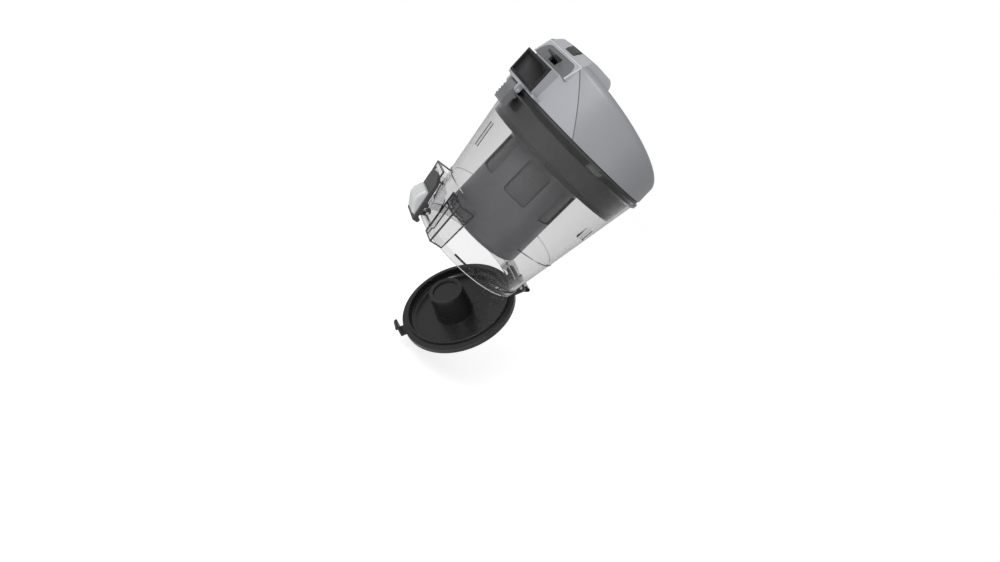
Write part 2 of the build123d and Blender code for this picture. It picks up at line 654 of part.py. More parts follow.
# Rubber lip round the head's lower edge
with BuildPart() as head_seal:
    with BuildSketch(Plane.XZ):
        with BuildLine():
            Polyline(
                (bin_radius(HEAD_LOW) - BIN_WALL - LINER_FIT - HEAD_SEAL_T, HEAD_LOW),
                (bin_radius(HEAD_LOW) - BIN_WALL - LINER_FIT, HEAD_LOW),
                (bin_radius(skirt_low) - BIN_WALL - LINER_FIT, skirt_low),
                (bin_radius(skirt_low) - BIN_WALL - LINER_FIT - HEAD_SEAL_T, skirt_low),
                close=True,
            )
        make_face()
    revolve(axis=Axis.Z)
head_seal.part.label = "head_seal"
export_step(head_seal.part, "parts/head_seal.step")

# Core: dark cup hung under the plate, with screened windows and a mouth in its floor
with BuildPart() as core_tube:
    core_side = CORE_X + CORE_R
    floor_top = CORE_LOW + CORE_WALL
    inner_round = CORE_ROUND - CORE_WALL
    with BuildSketch(Plane.XZ):
        with BuildLine():
            Line((core_side, BIN_H), (core_side, CORE_LOW + CORE_ROUND))
            RadiusArc((core_side, CORE_LOW + CORE_ROUND), (core_side - CORE_ROUND, CORE_LOW), CORE_ROUND)
            Polyline(
                (core_side - CORE_ROUND, CORE_LOW),
                (CORE_X + CORE_MOUTH_R, CORE_LOW),
                (CORE_X + CORE_MOUTH_R, floor_top),
                (core_side - CORE_ROUND, floor_top),
            )
            RadiusArc(
                (core_side - CORE_ROUND, floor_top),
                (core_side - CORE_WALL, floor_top + inner_round),
                -inner_round,
            )
            Polyline(
                (core_side - CORE_WALL, floor_top + inner_round),
                (core_side - CORE_WALL, BIN_H),
                (core_side, BIN_H),
            )
        make_face()
    revolve(axis=Axis((CORE_X, 0, 0), (0, 0, 1)))
    for step in range(WINDOW_COUNT):
        angle = radians(WINDOW_FIRST + 360 * step / WINDOW_COUNT)
        out = Vector(cos(angle), sin(angle), 0)
        middle = Vector(CORE_X, 0, (WINDOW_LOW + WINDOW_HIGH) / 2)
        with BuildSketch(Plane(middle + out * (CORE_R / 2), out.cross(Vector(0, 0, 1)), out)):
            RectangleRounded(WINDOW_W, WINDOW_HIGH - WINDOW_LOW, SCREEN_LAP)
        extrude(amount=CORE_R, mode=Mode.SUBTRACT)
core_tube.part.label = "core_tube"
export_step(core_tube.part, "parts/core_tube.step")

# Fine screen sleeve behind the core's windows
with BuildPart() as core_screen:
    screen_r = CORE_R - CORE_WALL - LINER_FIT
    add(ring(CORE_X, screen_r - SCREEN_T, screen_r, WINDOW_LOW - SCREEN_LAP, WINDOW_HIGH + SCREEN_LAP))
core_screen.part.label = "core_screen"
export_step(core_screen.part, "parts/core_screen.step")

# Inner cyclone cone
with BuildPart() as cyclone_cone:
    for inset, mode in ((0, Mode.ADD), (CONE_WALL, Mode.SUBTRACT)):
        with BuildSketch(Plane.XY.offset(CONE_LOW)):
            with Locations((CORE_X, 0)):
                Circle(CONE_LOW_R - inset)
        with BuildSketch(Plane.XY.offset(BIN_H)):
            with Locations((CORE_X, 0)):
                Circle(CONE_TOP_R - inset)
        loft(mode=mode)
cyclone_cone.part.label = "cyclone_cone"
export_step(cyclone_cone.part, "parts/cyclone_cone.step")

# Vortex finder: tube through the plate with a screwed flange
with BuildPart() as vortex_finder:
    add(ring(CORE_X, FINDER_R - FINDER_WALL, FINDER_R, FINDER_LOW, PLATE_TOP + FINDER_FLANGE_T))
    add(ring(CORE_X, FINDER_R - FINDER_WALL, FINDER_FLANGE_R, PLATE_TOP, PLATE_TOP + FINDER_FLANGE_T))
    with BuildSketch(Plane.XY.offset(PLATE_TOP)):
        with Locations((CORE_X, 0)):
            with PolarLocations(SCREW_RING, SCREW_COUNT):
                Circle(SCREW_R + PIN_FIT)
    extrude(amount=FINDER_FLANGE_T, mode=Mode.SUBTRACT)
vortex_finder.part.label = "vortex_finder"
export_step(vortex_finder.part, "parts/vortex_finder.step")

# Screws of the vortex finder
with BuildPart() as head_screws:
    screw_top = PLATE_TOP + FINDER_FLANGE_T
    for radius, height in ((SCREW_R, -SCREW_L), (SCREW_HEAD_R, SCREW_HEAD_H)):
        with BuildSketch(Plane.XY.offset(screw_top)):
            with Locations((CORE_X, 0)):
                with PolarLocations(SCREW_RING, SCREW_COUNT):
                    Circle(radius)
        extrude(amount=height)
head_screws.part.label = "head_screws"
export_step(head_screws.part, "parts/head_screws.step")

# Seal between the head's plate and the cover
with BuildPart() as bin_seal:
    add(ring(0, SEAM_R - BIN_SEAL_W, SEAM_R, PLATE_TOP, COVER_LOW))
bin_seal.part.label = "bin_seal"
export_step(bin_seal.part, "parts/bin_seal.step")

# Exhaust filter: perforated cup on the plate, with a foam disc in it
with BuildPart() as filter_frame:
    add(ring(FILTER_X, FILTER_R - FILTER_WALL, FILTER_R, PLATE_TOP, FILTER_TOP))
    with BuildSketch(Plane.XY.offset(FILTER_FLOOR)):
        with Locations((FILTER_X, 0)):
            Circle(FILTER_R - FILTER_WALL)
            Circle(FILTER_HOLE_R, mode=Mode.SUBTRACT)
            with PolarLocations(FILTER_HOLE_RING, FILTER_HOLES):
                Circle(FILTER_HOLE_R, mode=Mode.SUBTRACT)
    extrude(amount=FILTER_FLOOR_T)
filter_frame.part.label = "filter_frame"
export_step(filter_frame.part, "parts/filter_frame.step")

with BuildPart() as foam_filter:
    foam_low = FILTER_FLOOR + FILTER_FLOOR_T
    with BuildSketch(Plane.XY.offset(foam_low)):
        with Locations((FILTER_X, 0)):
            Circle(FILTER_R - FILTER_WALL - CLEAR)
    extrude(amount=FOAM_T)
foam_filter.part.label = "foam_filter"
export_step(foam_filter.part, "parts/foam_filter.step")

# Inlet housing: front of the cover with the duct, its ledge and the clip's ears
with BuildPart() as inlet_housing:
    add(COVER_SHELL)
    split(bisect_by=SPLIT.offset(-SPLIT_GAP / 2), keep=Keep.BOTTOM)
    with BuildSketch(Plane.YZ.offset(DUCT_X)):
        with Locations((0, (DUCT_LOW + DUCT_HIGH) / 2)):
            Rectangle(2 * DUCT_HALF, DUCT_HIGH - DUCT_LOW)
    extrude(amount=DUCT_INNER_X - DUCT_X)
    with BuildSketch(Plane.XY.offset(COVER_LOW)):
        with Locations((LEDGE_X, 0)):
            Rectangle(DUCT_INNER_X - LEDGE_X, 2 * LEDGE_HALF, align=(Align.MIN, Align.CENTER))
        with Locations((BRACKET_X, 0)):
            Rectangle(DUCT_INNER_X - BRACKET_X, 2 * BRACKET_HALF, align=(Align.MIN, Align.CENTER))
    extrude(amount=LEDGE_T)
    for face in (CLIP_HALF + CLIP_EAR_T + CLIP_EAR_GAP, -CLIP_HALF - CLIP_EAR_GAP):
        with BuildSketch(xz_plane(face)):
            with Locations((CLIP_X, CLIP_Z)):
                Circle(CLIP_R)
            with Locations((CLIP_X, COVER_LOW)):
                Rectangle(2 * CLIP_R, LEDGE_T / 2, align=(Align.CENTER, Align.MIN))
            make_hull()
        extrude(amount=CLIP_EAR_T)
    with BuildSketch(Plane.YZ.offset(DUCT_X)):
        with Locations((0, (DUCT_LOW + DUCT_HIGH) / 2)):
            Rectangle(2 * (DUCT_HALF - DUCT_WALL), DUCT_HIGH - DUCT_LOW - 2 * DUCT_WALL)
    extrude(amount=DUCT_INNER_X - DUCT_X, mode=Mode.SUBTRACT)
    with BuildSketch(Plane.XY.offset(COVER_LOW)):
        Circle(COVER_R - COVER_WALL)
    extrude(amount=LEDGE_T, mode=Mode.SUBTRACT)
    add(pin(CLIP_X, CLIP_Z, CLIP_PIN_R + PIN_FIT, LEDGE_HALF), mode=Mode.SUBTRACT)
inlet_housing.part.label = "inlet_housing"
export_step(inlet_housing.part, "parts/inlet_housing.step")

# Duct liner: dark sleeve in the duct, lipped at its mouth, that turns down to the head's plate
with BuildPart() as duct_liner:
    add(liner_bend(0, DUCT_X))
    with BuildSketch(Plane.YZ.offset(DUCT_X)):
        with Locations((0, (DUCT_LOW + DUCT_HIGH) / 2)):
            Rectangle(2 * DUCT_HALF, DUCT_HIGH - DUCT_LOW)
    extrude(amount=-LINER_LIP)
    add(liner_bend(LINER_WALL, DUCT_X - LINER_LIP - OVERCUT), mode=Mode.SUBTRACT)
duct_liner.part.label = "duct_liner"
export_step(duct_liner.part, "parts/duct_liner.step")

# Dome cover: rear of the cover with the finger pocket in its roof and a fixed hook behind
with BuildPart() as dome_cover:
    add(COVER_SOLID)
    add(pocket_block(POCKET_WALL), mode=Mode.INTERSECT)
    add(COVER_SHELL)
    add(pocket_block(0), mode=Mode.SUBTRACT)
    split(bisect_by=SPLIT.offset(SPLIT_GAP / 2), keep=Keep.TOP)
    hook_in = SEAM_R + FLANGE + CLEAR
    hook_top = FLANGE_LOW - FLANGE - CLEAR
    with BuildSketch(Plane.XZ):
        with BuildLine():
            Polyline(
                (COVER_R - COVER_WALL, COVER_LOW + REAR_HOOK_RISE),
                (hook_in + REAR_HOOK_T, COVER_LOW + REAR_HOOK_RISE / 2),
                (hook_in + REAR_HOOK_T, hook_top - REAR_HOOK_NOSE),
                (hook_in, hook_top - REAR_HOOK_NOSE),
                (SEAM_R + CLEAR, hook_top - REAR_HOOK_NOSE / 2),
                (SEAM_R + CLEAR, hook_top),
                (hook_in, hook_top),
                (hook_in, COVER_LOW),
                (COVER_R - COVER_WALL, COVER_LOW),
                close=True,
            )
        make_face()
    extrude(amount=REAR_HOOK_HALF, both=True)
dome_cover.part.label = "dome_cover"
export_step(dome_cover.part, "parts/dome_cover.step")

# Handle: hood with the catch chamber in front and the grip over the finger pocket
with BuildPart() as handle:
    add(hood_outline(0, HOOD_TOP, HOOD_FRONT, HOOD_BACK))
    add(hood_side(), mode=Mode.INTERSECT)
    chamber_front = HOOD_FRONT - FRAME_T
    add(hood_outline(HOOD_WALL, LIP_Z - HOOD_WALL, chamber_front, CHAMBER_BACK - WEB_T), mode=Mode.SUBTRACT)
    with BuildSketch(Plane.XZ):
        with BuildLine():
            Polyline(
                (LIP_X, HOOD_LOW),
                (LIP_X, LIP_Z - HOOD_WALL),
                (CHAMBER_BACK - WEB_T, brow(CHAMBER_BACK - WEB_T) - HOOD_WALL),
                (CHAMBER_BACK - WEB_T, HOOD_LOW),
                close=True,
            )
        make_face()
    extrude(amount=HOOD_HALF - HOOD_ROUND, both=True, mode=Mode.SUBTRACT)
    add(hood_outline(HOOD_WALL, HOOD_TOP - HOOD_WALL, WEB_X + WEB_T, HOOD_BACK), mode=Mode.SUBTRACT)
    with BuildSketch(Plane.YZ.offset(CHAMBER_BACK)):
        with Locations((0, HOOD_LOW)):
            Rectangle(2 * HOOD_HALF, HOOD_TOP - HOOD_LOW, align=(Align.CENTER, Align.MIN))
    over_roof = extrude(amount=HOOD_BACK - CHAMBER_BACK, mode=Mode.PRIVATE)
    add(over_roof & COVER_SOLID, mode=Mode.SUBTRACT)
    add(THUMB_HOLE, mode=Mode.SUBTRACT)
handle.part.label = "handle"
export_step(handle.part, "parts/handle.step")

# Catch frame: leaning plate that closes the chamber's mouth, with the spring's shelf
with BuildPart() as catch_frame:
    frame_top = LIP_Z - HOOD_WALL - LINER_FIT
    frame_lean = LIP_LEAN * (frame_top - HOOD_LOW)
    add(hood_outline(HOOD_WALL + LINER_FIT, frame_top, HOOD_FRONT, HOOD_FRONT + frame_lean + FRAME_T))
    with BuildSketch(Plane.XZ):
        with BuildLine():
            Polyline(
                (HOOD_FRONT, HOOD_LOW),
                (HOOD_FRONT + frame_lean, frame_top),
                (HOOD_FRONT + frame_lean + FRAME_T, frame_top),
                (HOOD_FRONT + FRAME_T, HOOD_LOW),
                close=True,
            )
        make_face()
    extrude(amount=HOOD_HALF, both=True, mode=Mode.INTERSECT)
    with BuildSketch(Plane.XY.offset(HOOD_LOW)):
        with Locations((HOOD_FRONT, 0)):
            Rectangle(FRAME_T + SHELF_L, 2 * SHELF_HALF, align=(Align.MIN, Align.CENTER))
    extrude(amount=SHELF_T)
    with BuildSketch(Plane.YZ.offset(HOOD_FRONT)):
        with Locations((0, CATCH_NOSE_LOW - CATCH_TRAVEL - SLIDE_FIT)):
            Rectangle(
                2 * (STEM_HALF + SLIDE_FIT),
                CATCH_TRAVEL + CATCH_NOSE_H + 2 * SLIDE_FIT,
                align=(Align.CENTER, Align.MIN),
            )
    extrude(amount=frame_lean + FRAME_T, mode=Mode.SUBTRACT)
catch_frame.part.label = "catch_frame"
export_step(catch_frame.part, "parts/catch_frame.step")

# Release catch: thumb pad on a stem, with the nose that locks into the cleaner
with BuildPart() as release_catch:
    pad_low = LIP_Z - HOOD_WALL / 2
    with BuildSketch(Plane.XZ):
        with BuildLine():
            Polyline(
                (THUMB_FRONT, pad_low),
                (THUMB_FRONT, brow(THUMB_FRONT) + THUMB_OUT),
                (THUMB_BACK, brow(THUMB_BACK) + THUMB_OUT),
                (THUMB_BACK, pad_low),
                close=True,
            )
        make_face()
    extrude(amount=THUMB_HALF, both=True)
    fillet(release_catch.faces().sort_by(Axis.Z)[-1].edges(), THUMB_OUT / 2)
    with BuildSketch(Plane.XY.offset(STEM_LOW)):
        with Locations(((STEM_FRONT + STEM_BACK) / 2, 0)):
            Rectangle(STEM_BACK - STEM_FRONT, 2 * STEM_HALF)
    extrude(amount=pad_low - STEM_LOW)
    with BuildSketch(Plane.XZ):
        with BuildLine():
            Polyline(
                (STEM_FRONT, CATCH_NOSE_LOW),
                (CATCH_NOSE_X, CATCH_NOSE_LOW + CATCH_NOSE_H / 2),
                (CATCH_NOSE_X, CATCH_NOSE_LOW + CATCH_NOSE_H),
                (STEM_FRONT, CATCH_NOSE_LOW + CATCH_NOSE_H),
                close=True,
            )
        make_face()
    extrude(amount=STEM_HALF, both=True)
release_catch.part.label = "release_catch"
export_step(release_catch.part, "parts/release_catch.step")

# Spring under the release catch
with BuildPart() as catch_spring:
    coil_low = HOOD_LOW + SHELF_T + SPRING_WIRE
    coil_l = STEM_LOW - SPRING_WIRE - coil_low
    with BuildLine(Plane(((STEM_FRONT + STEM_BACK) / 2, 0, coil_low))) as catch_coil:
        Helix(coil_l / CATCH_COIL_TURNS, coil_l, CATCH_COIL_R)
    with BuildSketch(Plane(catch_coil.line @ 0, z_dir=catch_coil.line % 0)):
        Circle(SPRING_WIRE)
    sweep()
catch_spring.part.label = "catch_spring"
export_step(catch_spring.part, "parts/catch_spring.step")

# Cover clip: hooked block on a pin under the duct's ledge, ribbed for the finger
with BuildPart() as cover_clip:
    clip_out = CLIP_X - CLIP_OUT
    clip_in = -SEAM_R - FLANGE - CLEAR
    nose_top = FLANGE_LOW - FLANGE - CLEAR
    with BuildSketch(Plane.XZ):
        with Locations((CLIP_X, CLIP_Z)):
            Circle(CLIP_R)
        with BuildLine():
            Polyline(
                (clip_out, CLIP_Z),
                (clip_out, CLIP_LOW),
                (clip_in, CLIP_LOW),
                (clip_in, nose_top - CLIP_NOSE_H),
                (-SEAM_R - CLEAR, nose_top - CLIP_NOSE_H / 2),
                (-SEAM_R - CLEAR, nose_top),
                (clip_in, nose_top),
                (clip_in, CLIP_Z),
                close=True,
            )
        make_face()
        with Locations(*[(clip_out, CLIP_LOW + GRIP_PITCH * (step + 1)) for step in range(GRIP_RIBS)]):
            Circle(GRIP_R)
    extrude(amount=CLIP_HALF, both=True)
    add(pin(CLIP_X, CLIP_Z, CLIP_PIN_R + PIN_FIT, CLIP_HALF), mode=Mode.SUBTRACT)
cover_clip.part.label = "cover_clip"
export_step(cover_clip.part, "parts/cover_clip.step")

with BuildPart() as clip_pin:
    add(pin(CLIP_X, CLIP_Z, CLIP_PIN_R, CLIP_HALF + CLIP_EAR_T + PIN_PROUD))
clip_pin.part.label = "clip_pin"
export_step(clip_pin.part, "parts/clip_pin.step")
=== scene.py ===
"""Looks for the vacuum dust container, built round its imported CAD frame.

Units are metres in the CAD frame: +Z up the bin's axis, +X to the lid hinge, -X to the latch and duct.
"""

import json

import bpy
import numpy as np
from mathutils import Matrix, Vector


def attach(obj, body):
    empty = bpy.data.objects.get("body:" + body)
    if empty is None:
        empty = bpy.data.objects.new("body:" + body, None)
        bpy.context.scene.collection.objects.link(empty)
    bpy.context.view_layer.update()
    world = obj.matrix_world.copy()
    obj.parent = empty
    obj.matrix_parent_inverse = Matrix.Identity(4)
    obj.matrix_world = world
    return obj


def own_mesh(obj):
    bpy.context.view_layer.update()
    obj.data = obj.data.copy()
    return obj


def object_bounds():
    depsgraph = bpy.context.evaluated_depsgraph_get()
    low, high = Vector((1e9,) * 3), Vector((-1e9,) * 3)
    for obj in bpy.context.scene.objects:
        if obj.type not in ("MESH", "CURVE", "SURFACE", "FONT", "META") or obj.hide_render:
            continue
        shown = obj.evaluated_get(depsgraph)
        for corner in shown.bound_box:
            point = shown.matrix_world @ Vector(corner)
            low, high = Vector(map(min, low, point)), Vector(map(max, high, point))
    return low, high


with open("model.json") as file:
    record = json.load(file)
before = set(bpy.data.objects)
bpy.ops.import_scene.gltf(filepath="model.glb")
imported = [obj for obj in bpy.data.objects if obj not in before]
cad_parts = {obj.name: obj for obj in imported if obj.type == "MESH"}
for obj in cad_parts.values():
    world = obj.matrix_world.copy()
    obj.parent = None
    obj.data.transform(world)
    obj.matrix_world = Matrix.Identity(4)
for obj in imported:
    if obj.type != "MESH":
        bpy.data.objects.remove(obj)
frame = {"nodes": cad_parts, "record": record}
nodes = frame["nodes"]
cad_low, cad_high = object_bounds()

MM = 0.001

# Camera, at the photograph's viewing angle
IMAGE_WIDTH, IMAGE_HEIGHT = 1000, 562
VIEW_AZIMUTH, VIEW_ELEVATION, VIEW_ROLL = np.radians([-35.4, 9.4, 44.6])
VIEW_DISTANCE = 0.620
VIEW_TARGET = np.array([0.0, 0.0, 0.074])
FOCAL_PIXELS = 629.2
TARGET_RIGHT, TARGET_UP = 18.8, 82.4
SENSOR = 36.0

# Floor and light
FLOOR_GAP = 0.014
FLOOR_HALF = 4.0
FLOOR_LIFT = 0.56
WORLD_LIGHT = 0.5

# Lamps: name, place right, up and back of the object's middle, size and watts
LAMPS = [
    ("key", -0.15, 0.6, 1.2, 0.7, 12.0),
    ("fill", 0.35, -0.9, 0.8, 0.5, 2.5),
]

# Clear plastic: how strongly it bends light and how fast it darkens along a way through it
CLEAR_IOR = 1.28
CLEAR_DENSITY = 95.0

# Clear bin and the squared cheeks at its latch
RIM_R, BIN_SLOPE = 61.0 * MM, 0.14
CHEEK_X, CHEEK_Y, CHEEK_INNER = 64.0 * MM, 37.0 * MM, 19.0 * MM
CHEEK_LEVELS = np.array([1.0, 35.0, 45.0]) * MM
CHEEK_WALL = 2.0 * MM
# Half width of the black bars of painted shade along the cheeks' corners
SHADE_LINE_HALF = 0.55 * MM

# Front edge of the grip hood, traced by pale bars of painted highlight
HOOD_FRONT, HOOD_LOW = -77.0 * MM, 181.5 * MM
LIP_X, LIP_Z = -71.8 * MM, 197.5 * MM
HOOD_HALF = 35.7 * MM
# Half width of the pale bars of painted highlight
HIGHLIGHT_HALF = 0.4 * MM

# Mouth of the duct, and where its walls are no longer shaded by the lip
MOUTH_X, MOUTH_INNER = -85.5 * MM, -78.0 * MM

# Screen behind the core's windows
CORE_X = -6.0 * MM
SCREEN_R = 41.35 * MM
SCREEN_PITCH = 1.6 * MM


def unit(v):
    """Vector scaled to length one."""
    return v / np.linalg.norm(v)


def camera_axes():
    """Camera's place and its right, up and back directions.

    The camera stands back from the target along the azimuth and elevation, is rolled about that line,
    and is then turned so that the target falls TARGET_RIGHT and TARGET_UP pixels from the middle.
    """
    back = np.array(
        [
            np.sin(VIEW_AZIMUTH) * np.cos(VIEW_ELEVATION),
            -np.cos(VIEW_AZIMUTH) * np.cos(VIEW_ELEVATION),
            np.sin(VIEW_ELEVATION),
        ]
    )
    level = np.array([np.cos(VIEW_AZIMUTH), np.sin(VIEW_AZIMUTH), 0.0])
    upright = np.cross(back, level)
    right = level * np.cos(VIEW_ROLL) + upright * np.sin(VIEW_ROLL)
    up = -level * np.sin(VIEW_ROLL) + upright * np.cos(VIEW_ROLL)
    place = VIEW_TARGET + VIEW_DISTANCE * back
    look = unit(-back - right * TARGET_RIGHT / FOCAL_PIXELS - up * TARGET_UP / FOCAL_PIXELS)
    right = unit(np.cross(look, up))
    up = np.cross(right, look)
    return place, right, up, -look


def add_camera():
    """Camera with the lens that gives FOCAL_PIXELS in an image IMAGE_WIDTH wide."""
    place, right, up, back = camera_axes()
    data = bpy.data.cameras.new("camera")
    data.sensor_fit = "HORIZONTAL"
    data.sensor_width = SENSOR
    data.lens = FOCAL_PIXELS * SENSOR / IMAGE_WIDTH
    data.clip_start = 0.01
    data.clip_end = 50.0
    camera = bpy.data.objects.new("camera", data)
    turn = Matrix((right, up, back)).transposed().to_4x4()
    camera.matrix_world = Matrix.Translation(place) @ turn
    bpy.context.scene.collection.objects.link(camera)
    bpy.context.scene.camera = camera


def add_lamp(name, right, up, back, size, watts):
    """Square soft lamp, set off from the object's middle along the camera's axes and aimed at it."""
    _, cam_right, cam_up, cam_back = camera_axes()
    middle = (np.array(cad_low) + np.array(cad_high)) / 2
    offset = right * cam_right + up * cam_up + back * cam_back
    data = bpy.data.lights.new(name, "AREA")
    data.size = size
    data.energy = watts
    lamp = bpy.data.objects.new(name, data)
    turn = Vector(-offset).to_track_quat("-Z", "Y").to_matrix().to_4x4()
    lamp.matrix_world = Matrix.Translation(middle + offset) @ turn
    bpy.context.scene.collection.objects.link(lamp)


def seen_directly(tree):
    """Node output that is one for camera and transmitted rays and zero for the rest."""
    path = tree.nodes.new("ShaderNodeLightPath")
    either = tree.nodes.new("ShaderNodeMath")
    either.operation = "MAXIMUM"
    tree.links.new(path.outputs["Is Camera Ray"], either.inputs[0])
    tree.links.new(path.outputs["Is Transmission Ray"], either.inputs[1])
    return either.outputs["Value"]


def add_world():
    """World that lights softly and shows as white where it is seen."""
    world = bpy.data.worlds.new("studio")
    bpy.context.scene.world = world
    world.use_nodes = True
    tree = world.node_tree
    tree.nodes.clear()
    lit = tree.nodes.new("ShaderNodeBackground")
    lit.inputs["Strength"].default_value = WORLD_LIGHT
    seen = tree.nodes.new("ShaderNodeBackground")
    for node in (lit, seen):
        node.inputs["Color"].default_value = (1, 1, 1, 1)
    mix = tree.nodes.new("ShaderNodeMixShader")
    out = tree.nodes.new("ShaderNodeOutputWorld")
    tree.links.new(seen_directly(tree), mix.inputs["Fac"])
    tree.links.new(lit.outputs["Background"], mix.inputs[1])
    tree.links.new(seen.outputs["Background"], mix.inputs[2])
    tree.links.new(mix.outputs["Shader"], out.inputs["Surface"])


def add_floor():
    """Pale floor under the object that takes its shadow and is lifted to white where it is seen."""
    level = cad_low.z - FLOOR_GAP
    corners = [(x, y, level) for x, y in ((-1, -1), (1, -1), (1, 1), (-1, 1))]
    corners = [(x * FLOOR_HALF, y * FLOOR_HALF, z) for x, y, z in corners]
    mesh = bpy.data.meshes.new("floor")
    mesh.from_pydata(corners, [], [(0, 1, 2, 3)])
    floor = bpy.data.objects.new("floor", mesh)
    bpy.context.scene.collection.objects.link(floor)
    material = bpy.data.materials.new("pale_floor")
    material.use_nodes = True
    tree = material.node_tree
    tree.nodes.clear()
    paint = tree.nodes.new("ShaderNodeBsdfDiffuse")
    paint.inputs["Color"].default_value = (0.86, 0.86, 0.86, 1)
    lift = tree.nodes.new("ShaderNodeEmission")
    strength = tree.nodes.new("ShaderNodeMath")
    strength.operation = "MULTIPLY"
    strength.inputs[1].default_value = FLOOR_LIFT
    tree.links.new(seen_directly(tree), strength.inputs[0])
    tree.links.new(strength.outputs["Value"], lift.inputs["Strength"])
    total = tree.nodes.new("ShaderNodeAddShader")
    out = tree.nodes.new("ShaderNodeOutputMaterial")
    tree.links.new(paint.outputs["BSDF"], total.inputs[0])
    tree.links.new(lift.outputs["Emission"], total.inputs[1])
    tree.links.new(total.outputs["Shader"], out.inputs["Surface"])
    mesh.materials.append(material)


def start_material(name):
    """Empty material with one Principled shader on its surface."""
    material = bpy.data.materials.new(name)
    material.use_nodes = True
    tree = material.node_tree
    tree.nodes.clear()
    shader = tree.nodes.new("ShaderNodeBsdfPrincipled")
    out = tree.nodes.new("ShaderNodeOutputMaterial")
    tree.links.new(shader.outputs["BSDF"], out.inputs["Surface"])
    return material, tree, shader, out


def noise_between(tree, scale, low, high, detail=2.0):
    """Noise on Object coordinates, spread between low and high."""
    coords = tree.nodes.new("ShaderNodeTexCoord")
    noise = tree.nodes.new("ShaderNodeTexNoise")
    noise.inputs["Scale"].default_value = scale
    noise.inputs["Detail"].default_value = detail
    spread = tree.nodes.new("ShaderNodeMapRange")
    spread.inputs["From Min"].default_value = 0.3
    spread.inputs["From Max"].default_value = 0.7
    spread.inputs["To Min"].default_value = low
    spread.inputs["To Max"].default_value = high
    tree.links.new(coords.outputs["Object"], noise.inputs["Vector"])
    tree.links.new(noise.outputs["Fac"], spread.inputs["Value"])
    return spread.outputs["Result"]


def object_axes(tree):
    """Node whose outputs X, Y and Z are the Object coordinates."""
    coords = tree.nodes.new("ShaderNodeTexCoord")
    axes = tree.nodes.new("ShaderNodeSeparateXYZ")
    tree.links.new(coords.outputs["Object"], axes.inputs["Vector"])
    return axes


def soft_edges(tree, radius):
    """Normal that rounds sharp edges by radius."""
    bevel = tree.nodes.new("ShaderNodeBevel")
    bevel.samples = 6
    bevel.inputs["Radius"].default_value = radius
    return bevel.outputs["Normal"]


def tinted(tree, colour, factor):
    """Colour multiplied by a node output that is near one."""
    mix = tree.nodes.new("ShaderNodeVectorMath")
    mix.operation = "SCALE"
    mix.inputs[0].default_value = colour
    tree.links.new(factor, mix.inputs["Scale"])
    return mix.outputs["Vector"]


def moulded_plastic(name, colour, roughness, grain=0.05, mottle=0.06, edge=0.4 * MM, specular=0.5):
    """Satin moulded plastic: fine spark-eroded grain, slow colour and gloss drift, softened edges."""
    material, tree, shader, _ = start_material(name)
    drift = noise_between(tree, 30.0, 1 - mottle, 1 + mottle)
    tree.links.new(tinted(tree, colour, drift), shader.inputs["Base Color"])
    gloss = noise_between(tree, 70.0, roughness - 0.05, roughness + 0.05)
    tree.links.new(gloss, shader.inputs["Roughness"])
    shader.inputs["Specular IOR Level"].default_value = specular
    bump = tree.nodes.new("ShaderNodeBump")
    bump.inputs["Strength"].default_value = grain
    bump.inputs["Distance"].default_value = 0.1 * MM
    tree.links.new(noise_between(tree, 1800.0, 0.0, 1.0), bump.inputs["Height"])
    tree.links.new(soft_edges(tree, edge), bump.inputs["Normal"])
    tree.links.new(bump.outputs["Normal"], shader.inputs["Normal"])
    return material


def clear_plastic(name):
    """Clear polycarbonate: polished faces with a slight haze, and a grey body that darkens with depth.

    Rays from lamps and from matt surfaces pass straight through, so that what is inside is lit.
    """
    material, tree, shader, out = start_material(name)
    shader.inputs["Base Color"].default_value = (1, 1, 1, 1)
    shader.inputs["Transmission Weight"].default_value = 1.0
    shader.inputs["IOR"].default_value = CLEAR_IOR
    haze = noise_between(tree, 60.0, 0.0, 0.015)
    tree.links.new(haze, shader.inputs["Roughness"])
    body = tree.nodes.new("ShaderNodeVolumeAbsorption")
    body.inputs["Color"].default_value = (0.0, 0.0, 0.02, 1)
    body.inputs["Density"].default_value = CLEAR_DENSITY
    tree.links.new(body.outputs["Volume"], out.inputs["Volume"])
    path = tree.nodes.new("ShaderNodeLightPath")
    either = tree.nodes.new("ShaderNodeMath")
    either.operation = "MAXIMUM"
    tree.links.new(path.outputs["Is Shadow Ray"], either.inputs[0])
    tree.links.new(path.outputs["Is Diffuse Ray"], either.inputs[1])
    straight = tree.nodes.new("ShaderNodeBsdfTransparent")
    straight.inputs["Color"].default_value = (0.9, 0.9, 0.91, 1)
    mix = tree.nodes.new("ShaderNodeMixShader")
    tree.links.new(either.outputs["Value"], mix.inputs["Fac"])
    tree.links.new(shader.outputs["BSDF"], mix.inputs[1])
    tree.links.new(straight.outputs["BSDF"], mix.inputs[2])
    tree.links.new(mix.outputs["Shader"], out.inputs["Surface"])
    return material


def duct_plastic_painted_shade(name):
    """Matt dark plastic of the duct's inside with painted shade: darkest at the lip and paler from there
    inwards along X.
    """
    material, tree, shader, _ = start_material(name)
    axes = object_axes(tree)
    # Painted shade: the colour is darkened near the duct's lip and brightens inwards along X
    lip_shade = tree.nodes.new("ShaderNodeMapRange")
    lip_shade.inputs["From Min"].default_value = MOUTH_X
    lip_shade.inputs["From Max"].default_value = MOUTH_INNER
    lip_shade.inputs["To Min"].default_value = 0.15
    lip_shade.inputs["To Max"].default_value = 1.0
    tree.links.new(axes.outputs["X"], lip_shade.inputs["Value"])
    tree.links.new(tinted(tree, (0.13, 0.13, 0.133), lip_shade.outputs["Result"]), shader.inputs["Base Color"])
    gloss = noise_between(tree, 70.0, 0.5, 0.65)
    tree.links.new(gloss, shader.inputs["Roughness"])
    shader.inputs["Specular IOR Level"].default_value = 0.2
    return material


